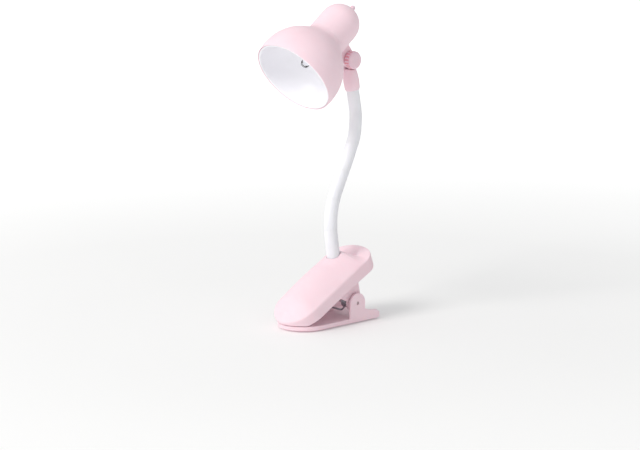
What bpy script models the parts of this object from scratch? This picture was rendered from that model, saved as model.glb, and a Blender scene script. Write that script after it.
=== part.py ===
"""Clip on reading lamp: a sprung two-jaw clip, a bendable gooseneck and a small
battery head with a bell shade. Each physical piece is its own closed object.
Units are metres, +Z is up, +X points out of the clip's mouth, +Y is the knob side."""
import bpy
import bmesh
import math
from mathutils import Vector, Matrix

MM = 0.001

# ---------------------------------------------------------------- dimensions (mm)
# working frame; the whole part is moved by ORIGIN_SHIFT at the end
ORIGIN_SHIFT = (-14.767, 0.017, 0.0)

# lower jaw
BASE_REAR_X = -19.3
BASE_FRONT_X = 40.9
BASE_HALF_W = 15.05
BASE_NOSE_LEN = 15.4
BASE_T = 3.3
BASE_WALL_T = 1.6
WALL_PTS = ((-19.3, 4.3), (-16.8, 5.9), (-11.5, 6.6), (-8.4, 7.3), (-6.9, 8.6), (2.0, 8.6), (2.05, 3.3))
EAR_R = 5.7
PIN_X = -1.75
PIN_Z = 11.8
PIN_R = 1.5
PIN_HOLE_R = 1.57
PIN_HALF_LEN = 14.5

# upper jaw shell, in its own plane: u runs up to the rear, v = +Y, w is the normal
JAW_SLOPE = math.radians(29.7)
JAW_C = (13.0, 23.66)
JAW_HALF_L = 35.0
JAW_HALF_W = 15.6
JAW_NOSE = 15.5
JAW_TAIL = 11.5
JAW_SIDE_H = 6.6
JAW_WALL = 1.8
CROWN = 8.7
NOSE_DROP = 1.3
TAIL_DRAFT = 1.7
GRIP_Z = 3.75
UEAR_Y0, UEAR_Y1 = 10.3, 12.4
UEAR_R = 5.1

# torsion spring
COIL_R = 3.3
WIRE_R = 0.55
COIL_Y0, COIL_Y1 = 4.9, 9.3

# gooseneck
NECK_R = 3.5
CUP_R = 3.8
NECK_PTS = ((3.64, 39.92), (4.74, 46.65), (5.46, 53.37), (5.39, 59.98), (4.39, 66.46), (2.30, 72.75), (-0.73, 79.01), (-3.77, 85.28), (-6.96, 91.49), (-9.85, 97.80), (-12.59, 104.13), (-13.66, 110.56), (-13.87, 117.10), (-12.89, 123.72), (-11.52, 130.29))
N_SEG = 7
HOLE_R = 4.1

# head
HEAD_PITCH = math.radians(38.4)
HEAD_YAW = math.radians(0.5)
RIM_C = (33.16, 0.0, 141.57)
PIVOT_T, PIVOT_D = 36.5, 20.2
KNOB_R = 5.1
KNOB_Y0, KNOB_Y1 = 2.05, 6.4

PI = math.pi

# ---------------------------------------------------------------- scene reset
for o in list(bpy.data.objects):
    bpy.data.objects.remove(o, do_unlink=True)
COL = bpy.context.scene.collection


def material(name, rgb, rough=0.4, metal=0.0, alpha=1.0):
    m = bpy.data.materials.new(name)
    m.use_nodes = True
    b = m.node_tree.nodes["Principled BSDF"]
    b.inputs["Base Color"].default_value = (*rgb, 1)
    b.inputs["Roughness"].default_value = rough
    b.inputs["Metallic"].default_value = metal
    b.inputs["Alpha"].default_value = alpha
    m.diffuse_color = (*rgb, alpha)
    return m


PINK = material("pink_shell", (0.96, 0.73, 0.78), 0.32)
WHITE = material("white_plastic", (0.93, 0.93, 0.95), 0.35)
SLEEVE = material("white_sleeve", (0.92, 0.92, 0.95), 0.5)
STEEL = material("bright_steel", (0.80, 0.80, 0.82), 0.25, 1.0)
BRASS = material("brass", (0.80, 0.62, 0.30), 0.3, 1.0)
CLEAR = material("clear_lens", (0.92, 0.94, 0.95), 0.05, 0.0, 0.35)
BOARD = material("board", (0.90, 0.92, 0.88), 0.5)
DARK = material("dark_plastic", (0.10, 0.10, 0.11), 0.5)
RUBBER = material("insulator", (0.20, 0.20, 0.22), 0.7)


# ---------------------------------------------------------------- mesh helpers (mm in, m out)
def finish(bm, name, mat, sharp=30.0):
    bmesh.ops.remove_doubles(bm, verts=bm.verts, dist=1e-4)
    bmesh.ops.dissolve_degenerate(bm, dist=1e-4, edges=bm.edges)
    bmesh.ops.recalc_face_normals(bm, faces=bm.faces)
    if bm.calc_volume(signed=True) < 0:
        bmesh.ops.reverse_faces(bm, faces=bm.faces)
    bmesh.ops.scale(bm, vec=(MM, MM, MM), verts=bm.verts)
    me = bpy.data.meshes.new(name)
    bm.to_mesh(me)
    bm.free()
    me.materials.append(mat)
    ob = bpy.data.objects.new(name, me)
    COL.objects.link(ob)
    me.shade_smooth()
    me.set_sharp_from_angle(angle=math.radians(sharp))
    return ob


def frame_matrix(origin, zdir, xhint=(1, 0, 0)):
    z = Vector(zdir).normalized()
    x = Vector(xhint) - z * Vector(xhint).dot(z)
    if x.length < 1e-6:
        x = Vector((0, 1, 0)) - z * z.y
    x.normalize()
    y = z.cross(x)
    m = Matrix((x, y, z)).transposed().to_4x4()
    m.translation = Vector(origin)
    return m


def lathe_bm(profile, n=32, closed=False, mtx=None):
    """profile of (r, z); open profiles start and end on the axis, closed ones are rings"""
    bm = bmesh.new()
    rings = []
    for r, z in profile:
        if r < 1e-6:
            rings.append([bm.verts.new((0, 0, z))])
        else:
            rings.append([bm.verts.new((r * math.cos(2 * PI * i / n), r * math.sin(2 * PI * i / n), z))
                          for i in range(n)])
    pairs = list(zip(rings[:-1], rings[1:]))
    if closed:
        pairs.append((rings[-1], rings[0]))
    for a, b in pairs:
        if len(a) == 1 and len(b) == 1:
            continue
        for i in range(n):
            j = (i + 1) % n
            if len(a) == 1:
                bm.faces.new((a[0], b[i], b[j]))
            elif len(b) == 1:
                bm.faces.new((a[i], b[0], a[j]))
            else:
                bm.faces.new((a[i], b[i], b[j], a[j]))
    if mtx is not None:
        bm.transform(mtx)
    return bm


def tube_bm(path, radius, n=8, r_end=None):
    """round bar along a path with flat ends"""
    bm = bmesh.new()
    pts = [Vector(p) for p in path]
    t0 = (pts[1] - pts[0]).normalized()
    ref = Vector((0, 1, 0)) if abs(t0.y) < 0.9 else Vector((1, 0, 0))
    nrm = (ref - t0 * ref.dot(t0)).normalized()
    rings = []
    for i, p in enumerate(pts):
        if i == 0:
            t = t0
        elif i == len(pts) - 1:
            t = (pts[i] - pts[i - 1]).normalized()
        else:
            t = (pts[i + 1] - pts[i - 1]).normalized()
        nrm = (nrm - t * nrm.dot(t)).normalized()
        bi = t.cross(nrm)
        rings.append([bm.verts.new(p + nrm * radius * math.cos(2 * PI * k / n) + bi * radius * math.sin(2 * PI * k / n))
                      for k in range(n)])
    for a, b in zip(rings[:-1], rings[1:]):
        for i in range(n):
            j = (i + 1) % n
            bm.faces.new((a[i], a[j], b[j], b[i]))
    bm.faces.new(list(reversed(rings[0])))
    bm.faces.new(rings[-1])
    return bm


def prism_bm(outline, lo, hi, mtx=None, chamfer=0.0):
    """outline of (x, y) extruded from lo to hi; chamfer trims both end edges"""
    bm = bmesh.new()
    n = len(outline)

    def inset(d):
        if d <= 0:
            return outline
        area = sum(outline[i][0] * outline[(i + 1) % n][1] - outline[(i + 1) % n][0] * outline[i][1] for i in range(n))
        s = 1 if area > 0 else -1
        out = []
        for i in range(n):
            a, b, c = Vector(outline[i - 1]), Vector(outline[i]), Vector(outline[(i + 1) % n])
            e1, e2 = (b - a).normalized(), (c - b).normalized()
            n1, n2 = Vector((-e1.y, e1.x)) * s, Vector((-e2.y, e2.x)) * s
            m = (n1 + n2)
            m = m / max(0.3, m.length_squared / 2)
            out.append((b.x + m.x * d, b.y + m.y * d))
        return out
    levels = [(lo, chamfer), (lo + chamfer, 0), (hi - chamfer, 0), (hi, chamfer)] if chamfer > 0 else [(lo, 0), (hi, 0)]
    rings = [[bm.verts.new((x, y, z)) for x, y in inset(d)] for z, d in levels]
    for a, b in zip(rings[:-1], rings[1:]):
        for i in range(n):
            j = (i + 1) % n
            bm.faces.new((a[i], a[j], b[j], b[i]))
    bm.faces.new(list(reversed(rings[0])))
    bm.faces.new(rings[-1])
    bmesh.ops.recalc_face_normals(bm, faces=bm.faces)
    if mtx is not None:
        bm.transform(mtx)
    return bm


XZ = Matrix(((1, 0, 0, 0), (0, 0, -1, 0), (0, 1, 0, 0), (0, 0, 0, 1)))   # (x, y, z) -> (x, -z, y)


def xz_prism_bm(outline, y0, y1, chamfer=0.0):
    """outline given in x, z; thickness along y"""
    return prism_bm(outline, -y1, -y0, XZ, chamfer)


def raw(bm, name):
    bmesh.ops.remove_doubles(bm, verts=bm.verts, dist=1e-4)
    bmesh.ops.recalc_face_normals(bm, faces=bm.faces)
    me = bpy.data.meshes.new(name)
    bm.to_mesh(me)
    bm.free()
    ob = bpy.data.objects.new(name, me)
    COL.objects.link(ob)
    return ob


def boolean(a_bm, tools):
    """tools: list of (operation, bmesh); returns a bmesh, in mm"""
    base = raw(a_bm, "tmp_base")
    extra = []
    for op, tb in tools:
        t = raw(tb, "tmp_tool")
        t.hide_render = True
        t.display_type = "WIRE"
        extra.append(t)
        md = base.modifiers.new("b", "BOOLEAN")
        md.operation = op
        md.solver = "EXACT"
        md.object = t
    bpy.context.view_layer.update()
    dg = bpy.context.evaluated_depsgraph_get()
    me = bpy.data.meshes.new_from_object(base.evaluated_get(dg))
    out = bmesh.new()
    out.from_mesh(me)
    bpy.data.meshes.remove(me)
    for t in [base] + extra:
        bpy.data.objects.remove(t, do_unlink=True)
    bmesh.ops.remove_doubles(out, verts=out.verts, dist=2e-4)
    return out


def arc(cx, cz, r, a0, a1, n):
    return [(cx + r * math.cos(math.radians(a0 + (a1 - a0) * i / n)),
             cz + r * math.sin(math.radians(a0 + (a1 - a0) * i / n))) for i in range(n + 1)]


# ---------------------------------------------------------------- lower jaw
def base_outline(inset=0.0):
    hw = BASE_HALF_W - inset
    xc = BASE_FRONT_X - BASE_NOSE_LEN
    a = BASE_NOSE_LEN - inset
    pts = []
    for i in range(25):
        t = -PI / 2 + PI * i / 24
        pts.append((xc + a * math.cos(t), hw * math.sin(t)))
    r = BASE_REAR_X + inset
    c = 1.2
    pts += [(r + c, hw), (r + c * 0.3, hw - c * 0.3), (r, hw - c), (r, -hw + c), (r + c * 0.3, -hw + c * 0.3), (r + c, -hw)]
    return pts


def ear_outline(r, x0, x1, z0, zc):
    return [(x0, z0), (x1, z0)] + [(x, z) for x, z in arc(0, zc, r, -14 if x1 >= r else 0, 180 + (14 if -x0 >= r else 0), 18)]


wall = [(WALL_PTS[0][0], 1.0)] + [(x, z) for x, z in WALL_PTS] + [(WALL_PTS[-1][0], 1.0)]
tools = []
for s in (1, -1):
    ya, yb = sorted((s * (BASE_HALF_W - BASE_WALL_T), s * BASE_HALF_W))
    tools.append(("UNION", xz_prism_bm([(BASE_REAR_X + 0.35, 1.0)] + [(max(x, BASE_REAR_X + 0.35), z) for x, z in WALL_PTS]
                                       + [(WALL_PTS[-1][0], 1.0)], ya, yb)))
    tools.append(("UNION", xz_prism_bm([(PIN_X - EAR_R, 1.2), (PIN_X + EAR_R, 1.2)] + arc(PIN_X, PIN_Z, EAR_R, 0, 180, 20), ya, yb, 0.35)))
# a low block the spring's lower leg rests on
tools.append(("UNION", prism_bm([(-5.2, -10.6), (-2.2, -10.6), (-2.2, -8.2), (-5.2, -8.2)], 2.0, 4.4)))
tools.append(("DIFFERENCE", lathe_bm([(0, -20), (PIN_HOLE_R, -20), (PIN_HOLE_R, 20), (0, 20)], 24,
                                     mtx=Matrix.Translation((PIN_X, 0, PIN_Z)) @ Matrix.Rotation(PI / 2, 4, "X"))))
lower = finish(boolean(prism_bm(base_outline(), 0.0, BASE_T, chamfer=0.45), tools), "lower_jaw", PINK)

# ---------------------------------------------------------------- jaw pin
pin_prof = [(0, -PIN_HALF_LEN), (1.1, -PIN_HALF_LEN), (PIN_R, -PIN_HALF_LEN + 0.4), (PIN_R, PIN_HALF_LEN - 0.4),
            (1.1, PIN_HALF_LEN), (0, PIN_HALF_LEN)]
pin = finish(lathe_bm(pin_prof, 24, mtx=Matrix.Translation((PIN_X, 0, PIN_Z)) @ Matrix.Rotation(PI / 2, 4, "X")),
             "pivot_pin", STEEL)

# ---------------------------------------------------------------- upper jaw shell
SU = Vector((-math.cos(JAW_SLOPE), 0, math.sin(JAW_SLOPE)))
SW = Vector((math.sin(JAW_SLOPE), 0, math.cos(JAW_SLOPE)))
SC = Vector((JAW_C[0], 0, JAW_C[1]))


def jaw_pt(u, v, w):
    return SC + SU * u + Vector((0, v, 0)) + SW * w


def jaw_outline(hl_f, hl_r, hw, nose, tail, nf=11, nr=9, ns=6):
    """half outlines joined: list of (u, v, spine u)"""
    pts = []
    ur, uf = hl_r - tail, -hl_f + nose
    for i in range(2 * nr + 1):
        t = PI / 2 - PI * i / (2 * nr)
        c, s = math.cos(t), math.sin(t)
        pts.append((ur + tail * abs(c) ** (2 / 2.15), hw * math.copysign(abs(s) ** (2 / 2.15), s), ur))
    for i in range(1, ns):
        u = ur + (uf - ur) * i / ns
        pts.append((u, -hw, u))
    for i in range(2 * nf + 1):
        t = -PI / 2 + PI * i / (2 * nf)
        c, s = math.cos(t), math.sin(t)
        pts.append((uf - nose * abs(c) ** (2 / 1.95), hw * math.copysign(abs(s) ** (2 / 1.95), s), uf))
    for i in range(1, ns):
        u = uf + (ur - uf) * i / ns
        pts.append((u, hw, u))
    return pts


def smooth(a, b, x):
    t = min(1.0, max(0.0, (x - a) / (b - a)))
    return t * t * (3 - 2 * t)


EXIT_U, EXIT_D = 17.0, 8.4      # gooseneck boss on the shell's ridge


def jaw_top(u, v, r):
    """height of the outer skin above the shell's edge plane"""
    s = CROWN * (0.50 + 0.50 * smooth(-40, -8, u)) * (1 - 0.10 * smooth(0, 14, u)) * (1 - 0.78 * smooth(18.5, 26.0, u))
    w = s * (1 - r ** 1.75)
    d = math.hypot((u - 26.8) / 6.6, v / 7.6)
    w -= 2.3 * (1 - smooth(0.2, 1.05, d))
    e = math.hypot(u - EXIT_U + 0.5, v)
    w += 0.7 * (1 - smooth(4.0, 11.0, e))
    return w - NOSE_DROP * smooth(-22, -35, u) if u < -22 else w


def skirt(u):
    """the side wall is a little deeper beside the pin"""
    return 0.9 * smooth(0, 14, u) * (1 - smooth(24, 33, u))


def jaw_solid(inner=False):
    if not inner:
        ol = jaw_outline(JAW_HALF_L, JAW_HALF_L, JAW_HALF_W, JAW_NOSE, JAW_TAIL)
        rs = (1.0, 0.985, 0.94, 0.86, 0.76, 0.65, 0.53, 0.41, 0.29, 0.17, 0.06)
    else:
        t = JAW_WALL
        ol = jaw_outline(23.5, JAW_HALF_L - t, JAW_HALF_W - t, 8.5, JAW_TAIL - t, 6, 6, 5)
        rs = (1.0, 0.86, 0.66, 0.44, 0.22)
    bm = bmesh.new()
    rings = []
    if not inner:
        rings.append([bm.verts.new(jaw_pt(u - TAIL_DRAFT * max(0.0, u - su) / JAW_TAIL, v, -JAW_SIDE_H - skirt(u))) for u, v, su in ol])
        rings.append([bm.verts.new(jaw_pt(u, v, min(-0.35, jaw_top(u, v, 1.0) - 0.35))) for u, v, su in ol])
        for r in rs:
            k = 1 - 0.018 * (1 if r == 1.0 else 0)
            ring = []
            for u, v, su in ol:
                uu, vv = su + (u - su) * r * k, v * r * k
                ring.append(bm.verts.new(jaw_pt(uu, vv, jaw_top(uu, vv, r))))
            rings.append(ring)
    else:
        rings.append([bm.verts.new(jaw_pt(u, v, -JAW_SIDE_H - 4)) for u, v, su in ol])
        for r in rs:
            ring = []
            for u, v, su in ol:
                uu, vv = su + (u - su) * r, v * r
                rr = min(1.0, max(abs(vv) / JAW_HALF_W, (abs(uu - su)) / JAW_NOSE))
                ring.append(bm.verts.new(jaw_pt(uu, vv, min(jaw_top(uu, vv, rr), CROWN) - 1.9)))
            rings.append(ring)
    n = len(ol)
    for a, b in zip(rings[:-1], rings[1:]):
        for i in range(n):
            j = (i + 1) % n
            bm.faces.new((a[i], b[i], b[j], a[j]))
    bm.faces.new(rings[0])
    # close the crown: pair the two sides of the innermost ring
    last = rings[-1]
    if not inner:
        nr_pts, ns_pts = 19, 5
        nf_pts = 23
    else:
        nr_pts, ns_pts = 13, 4
        nf_pts = 13
    # reorder so that the strip runs from the tail to the nose
    tail_mid = nr_pts // 2
    right_side = [last[(tail_mid + k) % n] for k in range(0, n // 2 + 1)]
    left_side = [last[(tail_mid - k) % n] for k in range(0, n // 2 + 1)]
    m = min(len(right_side), len(left_side))
    for k in range(m - 1):
        vs = []
        for q in (left_side[k], right_side[k], right_side[k + 1], left_side[k + 1]):
            if q not in vs:
                vs.append(q)
        if len(vs) >= 3:
            try:
                bm.faces.new(vs)
            except ValueError:
                pass
    bmesh.ops.recalc_face_normals(bm, faces=bm.faces)
    return bm


# gooseneck curve -----------------------------------------------------------------
def catmull(pts, step=0.25):
    out = []
    P = [Vector((x, 0, z)) for x, z in pts]
    P = [P[0] * 2 - P[1]] + P + [P[-1] * 2 - P[-2]]
    for i in range(1, len(P) - 2):
        for k in range(24):
            t = k / 24
            a, b, c, d = P[i - 1], P[i], P[i + 1], P[i + 2]
            out.append(0.5 * ((2 * b) + (c - a) * t + (2 * a - 5 * b + 4 * c - d) * t * t + (3 * b - 3 * c + d - a) * t ** 3))
    out.append(P[-2])
    return out


CURVE = catmull(NECK_PTS)
D0 = (CURVE[4] - CURVE[0]).normalized()
D1 = (CURVE[-1] - CURVE[-5]).normalized()
E0 = CURVE[0].copy()            # where the tube leaves the shell
LOWX = [E0 - D0 * d for d in (6.0, 4.0, 2.0)]
TOPX = [CURVE[-1] + D1 * d for d in (1.4, 2.8)]
FULL = LOWX + CURVE + TOPX
LENS = [0.0]
for a, b in zip(FULL[:-1], FULL[1:]):
    LENS.append(LENS[-1] + (b - a).length)
TOTAL = LENS[-1]


def on_curve(s):
    s = min(max(s, 0.0), TOTAL)
    for i in range(len(LENS) - 1):
        if LENS[i + 1] >= s:
            k = (s - LENS[i]) / max(1e-9, LENS[i + 1] - LENS[i])
            return FULL[i].lerp(FULL[i + 1], k)
    return FULL[-1]


def tangent(s):
    return (on_curve(s + 0.6) - on_curve(s - 0.6)).normalized()


NECK_IN = 6.0                                # length hidden in the shell
FIRST_JOINT = NECK_IN + 5.2
LAST_JOINT = TOTAL - 7.0
JOINT_S = [FIRST_JOINT + (LAST_JOINT - FIRST_JOINT) * i / (N_SEG - 2) for i in range(N_SEG - 1)]
JOINT_P = [on_curve(s) for s in JOINT_S]

# the shell's hollow boss that receives the tube, and its hole
FLOOR_D = 7.6
boss = lathe_bm([(0, -FLOOR_D - 1.6), (6.3, -FLOOR_D - 1.6), (6.3, 3.5), (0, 3.5)], 28, mtx=frame_matrix(E0, D0))
under = jaw_solid(False)
under.transform(Matrix.Translation(-SW * 0.6))
boss = boolean(boss, [("INTERSECT", under)])
bore = lathe_bm([(0, -FLOOR_D), (HOLE_R, -FLOOR_D), (HOLE_R, 1.0), (HOLE_R + 1.2, 9.0), (0, 9.0)], 28, mtx=frame_matrix(E0, D0))
stud_hole = lathe_bm([(0, -FLOOR_D - 4), (2.62, -FLOOR_D - 4), (2.62, -FLOOR_D + 1), (0, -FLOOR_D + 1)], 24,
                     mtx=frame_matrix(E0, D0))
jaw_tools = [("DIFFERENCE", jaw_solid(True))]
for s in (1, -1):
    ya, yb = sorted((s * UEAR_Y0, s * UEAR_Y1))
    pu = [jaw_pt(17.0, 0, -3.2), jaw_pt(-4.8, 0, -3.2)]
    # ear: from the shell's inside down round the pin
    out = [(pu[0].x, pu[0].z)]
    out += arc(PIN_X, PIN_Z, UEAR_R, 168, 372, 20)
    out += [(pu[1].x, pu[1].z)]
    jaw_tools.append(("UNION", xz_prism_bm(out, ya, yb)))
    yw, yv = sorted((s * 12.4, s * (JAW_HALF_W - 0.9)))
    jaw_tools.append(("UNION", xz_prism_bm([(p.x, p.z) for p in (jaw_pt(17.0, 0, -3.2), jaw_pt(-4.8, 0, -3.2),
                                                                 jaw_pt(-4.8, 0, -5.2), jaw_pt(17.0, 0, -5.2))], yw, yv)))
jaw_tools.append(("UNION", boss))
jaw_tools.append(("DIFFERENCE", bore))
jaw_tools.append(("DIFFERENCE", stud_hole))
jaw_tools.append(("DIFFERENCE", lathe_bm([(0, -20), (PIN_HOLE_R, -20), (PIN_HOLE_R, 20), (0, 20)], 24,
                                         mtx=Matrix.Translation((PIN_X, 0, PIN_Z)) @ Matrix.Rotation(PI / 2, 4, "X"))))
jaw_tools.append(("DIFFERENCE", xz_prism_bm([(20, -9), (60, -9), (60, GRIP_Z), (20, GRIP_Z)], -25, 25)))
upper = finish(boolean(jaw_solid(False), jaw_tools), "upper_jaw", PINK)

# ---------------------------------------------------------------- torsion spring
A_START, A_END = math.radians(300), math.radians(30 + 360 * 4)
n_t = 60
path = [Vector((-3.65, -9.9, 5.35)), Vector((-3.1, -6.5, 5.4)), Vector((-2.1, -1.0, 5.6)), Vector((-1.6, 1.6, 5.9)), Vector((-1.35, 3.2, 6.9)),
        Vector((-1.05, 4.4, 8.1))]
for i in range(n_t + 1):
    a = A_START + (A_END - A_START) * i / n_t
    path.append(Vector((PIN_X + COIL_R * math.cos(a), COIL_Y0 + (COIL_Y1 - COIL_Y0) * i / n_t, PIN_Z + COIL_R * math.sin(a))))
leg_dir = Vector((-math.sin(A_END), 0, math.cos(A_END)))
path += [path[-1] + leg_dir * 4.0 + Vector((0, -0.4, 0)), path[-1] + leg_dir * 14.0 + Vector((0, -1.6, 0)),
         path[-1] + leg_dir * 25.4 + Vector((0, -2.6, 0))]
spring = finish(tube_bm(path, WIRE_R, 6), "jaw_spring", STEEL, 60)

# ---------------------------------------------------------------- gooseneck
BALL = 3.42


def seg_bm(s0, s1, lo_cup, hi_ball, n=18):
    """sleeve segment from s0 to s1; a cup at the low end, a ball at the high end"""
    ts = [s0 + (s1 - s0) * i / 4 for i in range(5)]
    bm = bmesh.new()
    rings = []

    def ring(c, t, r):
        x = Vector((0, 1, 0))
        y = t.cross(x)
        return [bm.verts.new(c + x * r * math.cos(2 * PI * k / n) + y * r * math.sin(2 * PI * k / n)) for k in range(n)]
    if lo_cup:
        c, t = on_curve(s0), tangent(s0)
        zr = math.sqrt(CUP_R ** 2 - NECK_R ** 2)
        rings.append([bm.verts.new(c + t * CUP_R)])
        for a in (68, 46):
            rings.append(ring(c + t * CUP_R * math.sin(math.radians(a)), t, CUP_R * math.cos(math.radians(a))))
        rings.append(ring(c + t * zr, t, NECK_R))
        body = ts[1:-1]
    else:
        c, t = on_curve(s0), tangent(s0)
        rings.append([bm.verts.new(c)])
        rings.append(ring(c, t, NECK_R))
        body = ts[1:-1]
    for s in body:
        rings.append(ring(on_curve(s), tangent(s), NECK_R))
    c, t = on_curve(s1), tangent(s1)
    rings.append(ring(c, t, NECK_R))
    if hi_ball:
        for a in (25, 48, 70):
            rings.append(ring(c + t * NECK_R * math.sin(math.radians(a)), t, NECK_R * math.cos(math.radians(a))))
        rings.append([bm.verts.new(c + t * NECK_R)])
    else:
        rings.append([bm.verts.new(c)])
    for a, b in zip(rings[:-1], rings[1:]):
        for i in range(n):
            j = (i + 1) % n
            if len(a) == 1:
                bm.faces.new((a[0], b[i], b[j]))
            elif len(b) == 1:
                bm.faces.new((a[i], b[0], a[j]))
            else:
                bm.faces.new((a[i], b[i], b[j], a[j]))
    return bm


neck = []
bounds = [0.35] + JOINT_S + [TOTAL]
for i in range(N_SEG):
    ob = finish(seg_bm(bounds[i], bounds[i + 1], i > 0, i < N_SEG - 1), "gooseneck_%d" % (i + 1), SLEEVE, 40)
    neck.append(ob)

# ferrule, washer and nut that hold the tube in the shell
M0 = frame_matrix(E0 - D0 * NECK_IN, D0)
ferrule = finish(lathe_bm([(0, -6.4), (2.2, -6.4), (2.5, -6.1), (2.5, -1.35), (3.85, -1.35), (3.85, -0.15), (3.6, 0.05), (0, 0.05)], 24, mtx=M0),
                 "neck_ferrule", STEEL)
hexa = [(4.0 * math.cos(PI / 6 + PI / 3 * i), 4.0 * math.sin(PI / 6 + PI / 3 * i)) for i in range(6)]
washer = finish(lathe_bm([(2.75, -3.9), (4.6, -3.9), (4.6, -3.4), (2.75, -3.4)], 24, True, mtx=M0), "neck_washer", STEEL)


def ring_nut(hex_r, bore_r, z0, z1, mtx, name, mat):
    n = 24
    bm = bmesh.new()
    outer = []
    for k in range(n):
        a = 2 * PI * k / n
        q = ((a + PI / 6) % (PI / 3)) - PI / 6
        rr = hex_r * math.cos(PI / 6) / math.cos(q)
        outer.append((rr * math.cos(a), rr * math.sin(a)))
    rings = []
    for r_in, z in ((False, z0), (False, z1), (True, z1), (True, z0)):
        if r_in:
            rings.append([bm.verts.new((bore_r * math.cos(2 * PI * k / n), bore_r * math.sin(2 * PI * k / n), z)) for k in range(n)])
        else:
            rings.append([bm.verts.new((x, y, z)) for x, y in outer])
    for i in range(4):
        a, b = rings[i], rings[(i + 1) % 4]
        for k in range(n):
            j = (k + 1) % n
            bm.faces.new((a[k], a[j], b[j], b[k]))
    bm.transform(mtx)
    return finish(bm, name, mat)


nut = ring_nut(4.3, 2.75, -6.0, -4.1, M0, "neck_nut", STEEL)

# ---------------------------------------------------------------- head frame
BX = -math.cos(HEAD_PITCH) * math.cos(HEAD_YAW)
BY = -math.cos(HEAD_PITCH) * math.sin(HEAD_YAW)
BDIR = Vector((BX, BY, math.sin(HEAD_PITCH)))            # from the rim towards the dome
HSIDE = Vector((-math.sin(HEAD_YAW), math.cos(HEAD_YAW), 0))
HDOWN = BDIR.cross(HSIDE)
if HDOWN.z > 0:
    HDOWN = -HDOWN
RC = Vector(RIM_C)
HM = frame_matrix(RC, BDIR, HSIDE)                        # lathe z = distance behind the rim
PIVOT = RC + BDIR * PIVOT_T + HDOWN * PIVOT_D


def lathe_ring(inner, outer, n, name, mat, mtx, sharp=30):
    """ring body from an inner and an outer profile, both (t, r) from mouth to back"""
    prof = [(r, t) for t, r in outer] + [(r, t) for t, r in reversed(inner)]
    return finish(lathe_bm(prof, n, True, mtx), name, mat, sharp)


SHADE_OUT = [(0.0, 24.0), (2.5, 24.35), (6.0, 24.3), (10.4, 23.6), (14.0, 22.5), (17.5, 20.9), (20.5, 18.9), (23.0, 16.7),
             (25.5, 14.3), (27.5, 12.6), (29.6, 11.7), (30.2, 11.5), (30.35, 9.85), (35.5, 9.85)]
SHADE_IN = [(0.0, 23.3), (2.5, 23.3), (6.0, 23.2), (10.0, 22.5), (13.4, 21.4), (16.6, 19.8), (19.5, 17.8), (22.0, 15.5),
            (24.4, 13.1), (26.6, 11.0), (28.6, 9.6), (30.6, 8.85), (35.5, 8.85)]
shade = lathe_ring(SHADE_IN, SHADE_OUT, 44, "shade", PINK, HM)

REF_OUT = [(-0.9, 24.1), (-0.3, 24.1), (-0.3, 23.0), (2.5, 23.0), (6.0, 22.8), (9.8, 21.8), (13.0, 20.4), (15.8, 18.4), (18.2, 15.6), (19.6, 12.0),
           (20.0, 9.8)]
REF_IN = [(-0.9, 22.4), (2.5, 22.2), (6.0, 21.9), (9.4, 20.9), (12.2, 19.4), (14.8, 17.2), (16.8, 14.6), (18.0, 11.4), (18.5, 8.0),
          (18.6, 2.75), (19.6, 2.75), (19.6, 8.0)]
reflector = lathe_ring(REF_IN, REF_OUT, 44, "reflector", WHITE, HM)

HOUSE_OUT = [(30.45, 11.4), (30.6, 11.5), (43.5, 11.5)]
HOUSE_OUT += [(43.5 + 11.5 * math.sin(math.radians(a)), 11.5 * math.cos(math.radians(a))) for a in (14, 28, 42, 56, 69, 80)]
HOUSE_OUT += [(54.95, 2.1), (55.0, 1.75)]
HOUSE_IN = [(30.45, 10.15), (43.5, 10.15)]
HOUSE_IN += [(43.5 + 10.1 * math.sin(math.radians(a)), 10.1 * math.cos(math.radians(a))) for a in (16, 32, 48, 62, 74)]
HOUSE_IN += [(53.45, 1.75)]
prof = [(r, t) for t, r in HOUSE_OUT] + [(r, t) for t, r in reversed(HOUSE_IN)]
house_bm = lathe_bm(prof, 40, True, HM)


def hpt(t, d, s):
    """head frame: t behind the rim, d below the axis, s towards the knob side"""
    return RC + BDIR * t + HDOWN * d + HSIDE * s


HL = Matrix((BDIR, HDOWN, HSIDE)).transposed().to_4x4()
HL.translation = RC


def head_plate(outline, s0, s1, chamfer=0.0):
    bm = prism_bm(outline, s0, s1, None, chamfer)
    bm.transform(HL)
    return bm


LUG_R = 4.5
LUG_S0, LUG_S1 = -0.55, 1.75
lug = [(31.4, 10.7), (42.6, 10.7), (41.2, 13.2)] + \
      [(PIVOT_T + LUG_R * math.cos(math.radians(a)), PIVOT_D + LUG_R * math.sin(math.radians(a))) for a in range(0, 181, 15)] + \
      [(31.2, 13.2)]
side_hole = lathe_bm([(0, -9), (1.62, -9), (1.62, 9), (0, 9)], 20, mtx=frame_matrix(PIVOT, HSIDE, BDIR))
housing = finish(boolean(house_bm, [("UNION", head_plate(lug, LUG_S0, LUG_S1, 0.3)), ("DIFFERENCE", side_hole)]),
                 "head_housing", PINK)

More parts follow.
